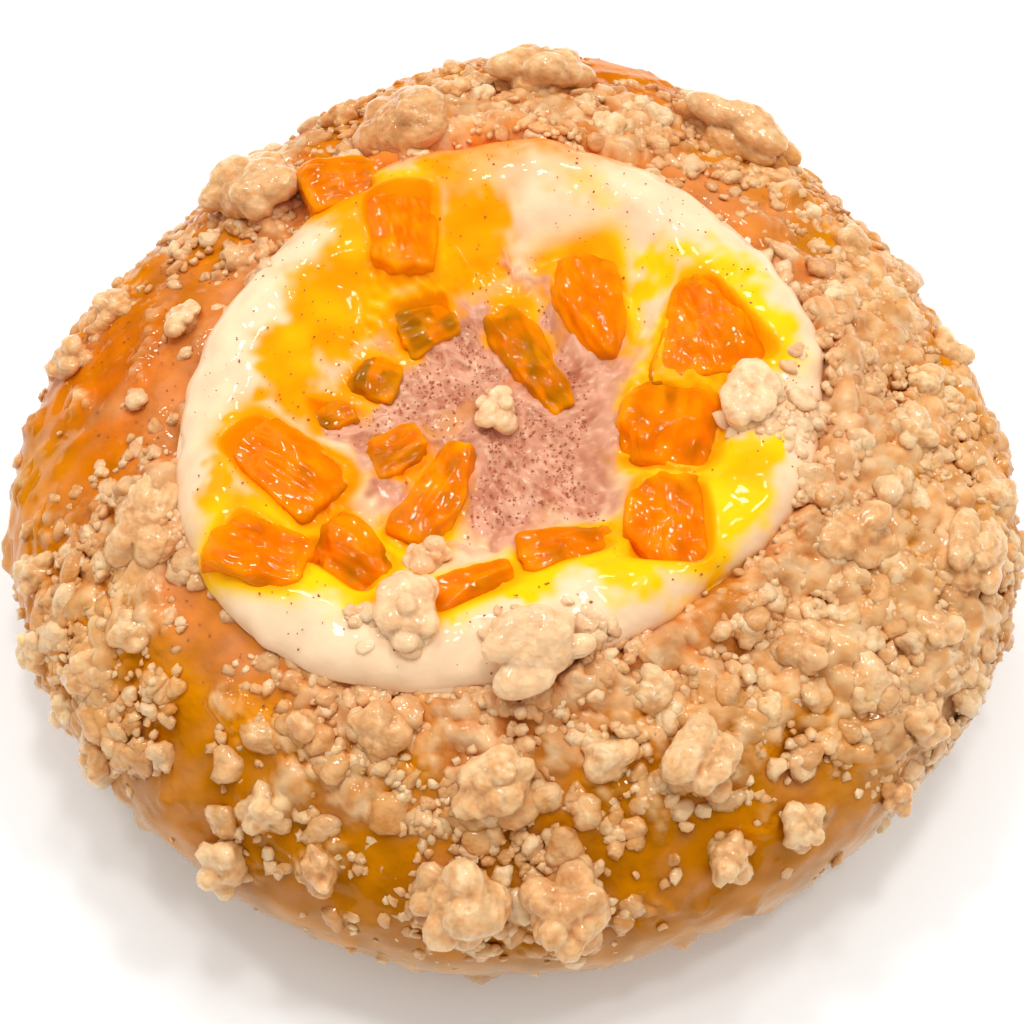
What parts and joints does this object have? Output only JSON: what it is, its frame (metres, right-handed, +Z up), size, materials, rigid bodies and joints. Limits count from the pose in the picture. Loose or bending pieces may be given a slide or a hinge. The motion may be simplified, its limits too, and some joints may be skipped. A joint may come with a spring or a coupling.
{
  "type": "danish pastry",
  "caption": "Round soft danish pastry: a glazed yeast bun with a ring of cream, diced fruit in the middle and streusel crumbs over the dough.",
  "frame": {"origin": "middle of the bun's flat base, on the surface it rests on", "axes": "+Z up through the crown, -Y toward the viewer of the picture, +X to the right in the picture"},
  "size_m": [0.1077, 0.1138, 0.0362],
  "materials": {
    "dough": "egg-washed and glazed yeast dough, soft gloss",
    "cream": "smooth set cream, satin",
    "fruit": "wet, slightly translucent fruit flesh",
    "crumble": "butter crumble, matt with a damp glaze"
  },
  "bodies": {
    "root": {"bun": "dough", "cream": "cream", "fruit_01": "fruit", "fruit_02": "fruit", "fruit_03": "fruit", "fruit_04": "fruit", "fruit_05": "fruit", "fruit_06": "fruit", "fruit_07": "fruit", "fruit_08": "fruit", "fruit_09": "fruit", "fruit_10": "fruit", "fruit_11": "fruit", "fruit_12": "fruit", "fruit_13": "fruit", "fruit_14": "fruit", "fruit_15": "fruit", "fruit_16": "fruit", "fruit_17": "fruit", "crumble_01": "crumble", "crumble_02": "crumble", "crumble_03": "crumble", "crumble_04": "crumble", "crumble_05": "crumble", "crumble_06": "crumble", "crumble_07": "crumble", "crumble_08": "crumble", "crumble_09": "crumble", "crumble_10": "crumble", "crumble_11": "crumble", "crumble_12": "crumble", "crumble_13": "crumble", "crumble_14": "crumble", "crumble_15": "crumble", "crumble_16": "crumble"}
  },
  "joints": []
}
